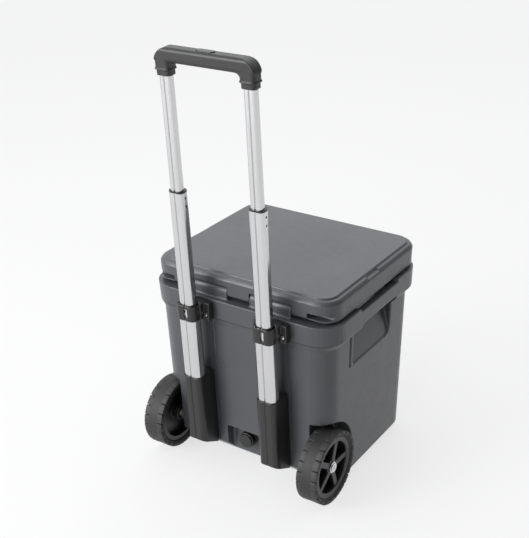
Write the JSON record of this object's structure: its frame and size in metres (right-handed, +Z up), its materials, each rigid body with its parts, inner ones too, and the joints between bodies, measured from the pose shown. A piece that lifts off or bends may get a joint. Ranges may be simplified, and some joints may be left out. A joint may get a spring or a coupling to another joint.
{
  "type": "cooler on wheels",
  "caption": "Insulated hard box with a hinged lid, side hand holds, a drain, rear wheels and a telescoping pull handle.",
  "frame": {"origin": "on the ground under the middle of the object's outline at rest, with the pull handle fully out", "axes": "+Z up, -Y towards the wheels and the pull handle, +Y towards the latches, +X to the right seen from the handle"},
  "size_m": [0.488, 0.5183, 1.0228],
  "materials": {
    "shell_plastic": "fine-grained rotomoulded charcoal grey plastic",
    "foam": "rigid insulating foam",
    "black_plastic": "satin black moulded plastic",
    "gloss_black": "smooth black moulded plastic",
    "rubber": "soft black rubber",
    "tyre": "black tyre rubber",
    "tube_metal": "bright anodised",
    "steel": "plain bright",
    "chrome": "bright plated",
    "spring_steel": "plain",
    "bearing_plastic": "slippery bearing plastic",
    "gasket": "soft dark grey seal"
  },
  "bodies": {
    "tub": {"body_shell": "shell_plastic", "inner_liner": "shell_plastic", "body_foam": "foam", "hinge_pins": "steel", "keepers": "steel", "front_feet": "rubber", "foot_screws": "steel", "drain_fitting": "black_plastic", "drain_nut": "black_plastic", "guide_left": "black_plastic", "guide_right": "black_plastic", "guide_screws": "steel", "collar_left": "black_plastic", "collar_right": "black_plastic", "collar_screws": "chrome", "outer_tube_left": "tube_metal", "outer_tube_right": "tube_metal", "tube_end_blocks": "black_plastic", "axle_left": "steel", "axle_right": "steel", "axle_washers": "steel", "axle_caps": "chrome"},
    "lid": {"lid_shell": "shell_plastic", "lid_foam": "foam", "lid_gasket": "gasket", "latch_pins": "steel"},
    "latch_left": {"latch_left": "rubber"},
    "latch_right": {"latch_right": "rubber"},
    "wheel_left": {"tyre_left": "tyre", "hub_left": "black_plastic", "bush_left": "bearing_plastic"},
    "wheel_right": {"tyre_right": "tyre", "hub_right": "black_plastic", "bush_right": "bearing_plastic"},
    "drain_plug": {"drain_plug": "black_plastic", "plug_gasket": "gasket"},
    "middle_stage": {"middle_tube_left": "tube_metal", "middle_tube_right": "tube_metal", "middle_top_bushes": "black_plastic", "middle_foot_bushes": "black_plastic"},
    "grip_stage": {"inner_tube_left": "tube_metal", "inner_tube_right": "tube_metal", "inner_foot_bushes": "black_plastic", "grip_shell": "black_plastic", "grip_inner_cover": "black_plastic", "grip_screws": "steel", "lock_blocks": "black_plastic", "button_spring": "spring_steel"},
    "button": {"push_button": "gloss_black", "release_bar": "steel", "pull_rods": "steel"},
    "lock_pin_left": {"lock_pin_left": "steel"},
    "lock_pin_right": {"lock_pin_right": "steel"}
  },
  "joints": [
    {"name": "lid_hinge", "type": "hinge", "parent": "tub", "child": "lid", "pos_m": [0, -0.14913, 0.462], "axis": [1, 0, 0], "range_deg": [0, 93]},
    {"name": "latch_left_swing", "type": "hinge", "parent": "lid", "child": "latch_left", "pos_m": [-0.112, 0.24637, 0.48], "axis": [1, 0, 0], "range_deg": [0, 90]},
    {"name": "latch_right_swing", "type": "hinge", "parent": "lid", "child": "latch_right", "pos_m": [0.112, 0.24637, 0.48], "axis": [1, 0, 0], "range_deg": [0, 90]},
    {"name": "wheel_left_spin", "type": "hinge", "parent": "tub", "child": "wheel_left", "pos_m": [-0.214, -0.14263, 0.0864], "axis": [1, 0, 0], "continuous": true},
    {"name": "wheel_right_spin", "type": "hinge", "parent": "tub", "child": "wheel_right", "pos_m": [0.214, -0.14263, 0.0864], "axis": [1, 0, 0], "continuous": true},
    {"name": "drain_plug_out", "type": "slide", "parent": "tub", "child": "drain_plug", "axis": [0, -1, 0], "range_m": [0, 0.03]},
    {"name": "middle_stage_slide", "type": "slide", "parent": "tub", "child": "middle_stage", "axis": [0, -0.0576, 0.9983], "range_m": [-0.264, 0]},
    {"name": "grip_stage_slide", "type": "slide", "parent": "middle_stage", "child": "grip_stage", "axis": [0, -0.0576, 0.9983], "range_m": [-0.245, 0]},
    {"name": "button_press", "type": "slide", "parent": "grip_stage", "child": "button", "axis": [0, 0.0576, -0.9983], "range_m": [0, 0.005], "stiffness_N_per_m": 1200, "deforming": ["button_spring"]},
    {"name": "lock_pin_left_draw", "type": "slide", "parent": "grip_stage", "child": "lock_pin_left", "axis": [-1, 0, 0], "range_m": [0, 0.0016]},
    {"name": "lock_pin_right_draw", "type": "slide", "parent": "grip_stage", "child": "lock_pin_right", "axis": [-1, 0, 0], "range_m": [0, 0.0016]}
  ],
  "couplings": [
    {"joint": "lock_pin_left_draw", "follows": "button_press", "ratio": 0.32},
    {"joint": "lock_pin_right_draw", "follows": "button_press", "ratio": 0.32}
  ]
}
